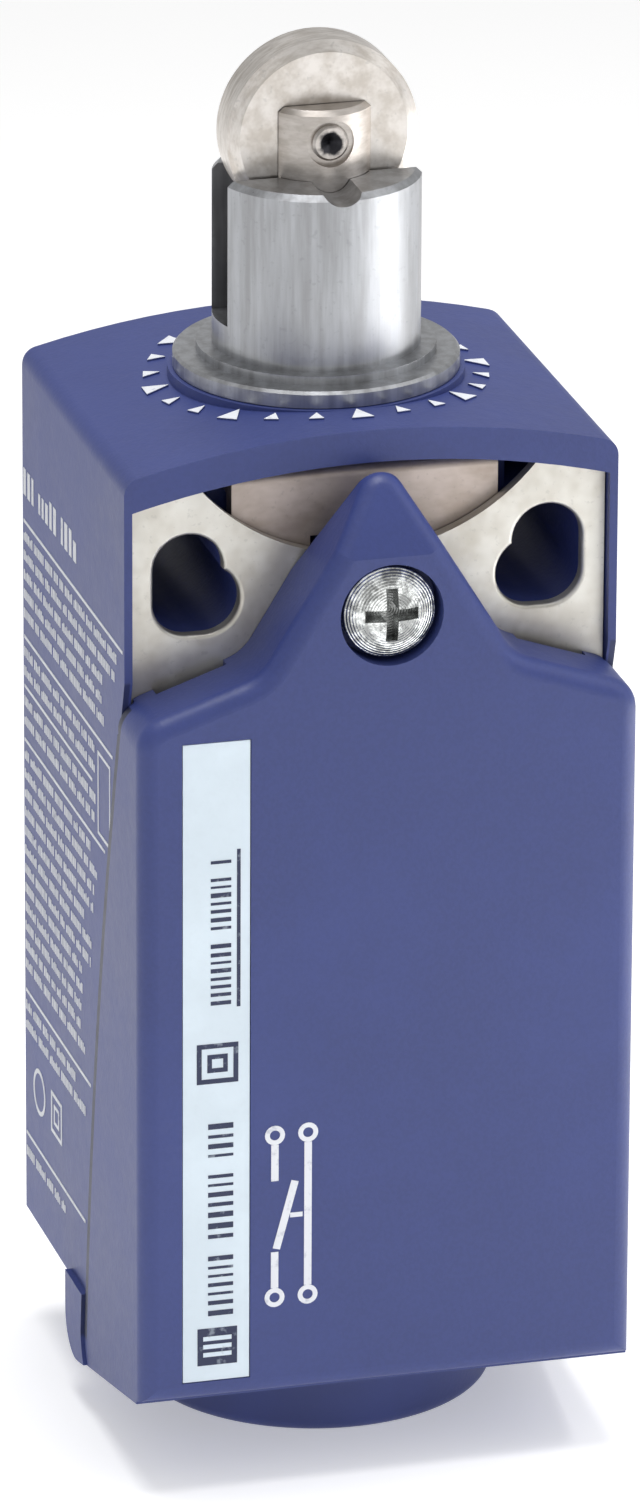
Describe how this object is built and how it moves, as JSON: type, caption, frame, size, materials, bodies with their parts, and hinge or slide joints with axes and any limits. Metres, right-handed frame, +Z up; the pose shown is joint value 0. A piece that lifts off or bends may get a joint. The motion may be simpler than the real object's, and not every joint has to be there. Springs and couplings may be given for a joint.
{
  "type": "limit switch",
  "caption": "Compact plastic limit switch with a steel roller-plunger head that turns, a screwed front cover with a pointed tongue, and a threaded cable entry below.",
  "frame": {"origin": "centre of the cable entry's mouth, on the head's axis", "axes": "+Z up through the roller head, -Y towards the front cover, +X to the right seen from the front"},
  "size_m": [0.031, 0.0301, 0.0856],
  "materials": {
    "housing": "fine matt moulded",
    "mounting_plate": "zinc plated, satin",
    "head_lock_fork": "zinc plated, satin",
    "screw_insert": "turned",
    "contact_block_base": "moulded",
    "contact_block_cover": "moulded",
    "fixed_contacts_nc": "stamped",
    "fixed_contacts_no": "stamped",
    "terminal_screws": "zinc plated",
    "terminal_clamps": "zinc plated",
    "cable_entry": "fine matt moulded",
    "entry_gasket": "smooth",
    "head_gasket": "smooth",
    "actuator_spring": "drawn wire",
    "cover": "fine matt moulded",
    "cover_gasket": "smooth",
    "cover_screw": "zinc plated",
    "screw_retainer": "moulded",
    "label": "satin print",
    "head_bush": "turned, satin",
    "wiper_seal": "smooth",
    "spring_cap": "turned",
    "plunger_spring": "drawn wire",
    "plunger": "turned, satin",
    "roller_axle": "turned, peened ends",
    "roller": "turned, satin",
    "actuator": "moulded",
    "contact_carrier": "moulded",
    "bridge_nc": "stamped",
    "bridge_no": "stamped",
    "bridge_springs": "drawn wire"
  },
  "bodies": {
    "housing": {"housing": "housing", "mounting_plate": "mounting_plate", "head_lock_fork": "head_lock_fork", "screw_insert": "screw_insert", "contact_block_base": "contact_block_base", "contact_block_cover": "contact_block_cover", "fixed_contacts_nc": "fixed_contacts_nc", "fixed_contacts_no": "fixed_contacts_no", "terminal_screws": "terminal_screws", "terminal_clamps": "terminal_clamps", "cable_entry": "cable_entry", "entry_gasket": "entry_gasket", "head_gasket": "head_gasket", "actuator_spring": "actuator_spring"},
    "cover": {"cover": "cover", "cover_gasket": "cover_gasket", "cover_screw": "cover_screw", "screw_retainer": "screw_retainer", "label": "label"},
    "head": {"head_bush": "head_bush", "wiper_seal": "wiper_seal", "spring_cap": "spring_cap", "plunger_spring": "plunger_spring"},
    "plunger": {"plunger": "plunger", "roller_axle": "roller_axle"},
    "roller": {"roller": "roller"},
    "actuator": {"actuator": "actuator"},
    "contacts": {"contact_carrier": "contact_carrier", "bridge_nc": "bridge_nc", "bridge_no": "bridge_no", "bridge_springs": "bridge_springs"}
  },
  "joints": [
    {"name": "head_turn", "type": "hinge", "parent": "housing", "child": "head", "pos_m": [0, 0, 0.065], "axis": [0, 0, 1], "continuous": true},
    {"name": "plunger_press", "type": "slide", "parent": "head", "child": "plunger", "axis": [0, 0, -1], "range_m": [0, 0.005], "stiffness_N_per_m": 3000, "springref_m": -0.004, "deforming": ["plunger_spring"]},
    {"name": "roller_spin", "type": "hinge", "parent": "plunger", "child": "roller", "pos_m": [0, 0, 0.0797], "axis": [0, 1, 0], "continuous": true},
    {"name": "cover_swing", "type": "hinge", "parent": "housing", "child": "cover", "pos_m": [0, -0.0065, 0.005], "axis": [1, 0, 0], "range_deg": [0, 20]},
    {"name": "actuator_travel", "type": "slide", "parent": "housing", "child": "actuator", "axis": [0, 0, -1], "range_m": [0, 0.005], "deforming": ["actuator_spring"]},
    {"name": "contact_travel", "type": "slide", "parent": "housing", "child": "contacts", "axis": [0, 0, -1], "range_m": [0, 0.0025]}
  ],
  "couplings": [
    {"joint": "actuator_travel", "follows": "plunger_press", "ratio": 1},
    {"joint": "contact_travel", "follows": "plunger_press", "ratio": 0.5}
  ]
}
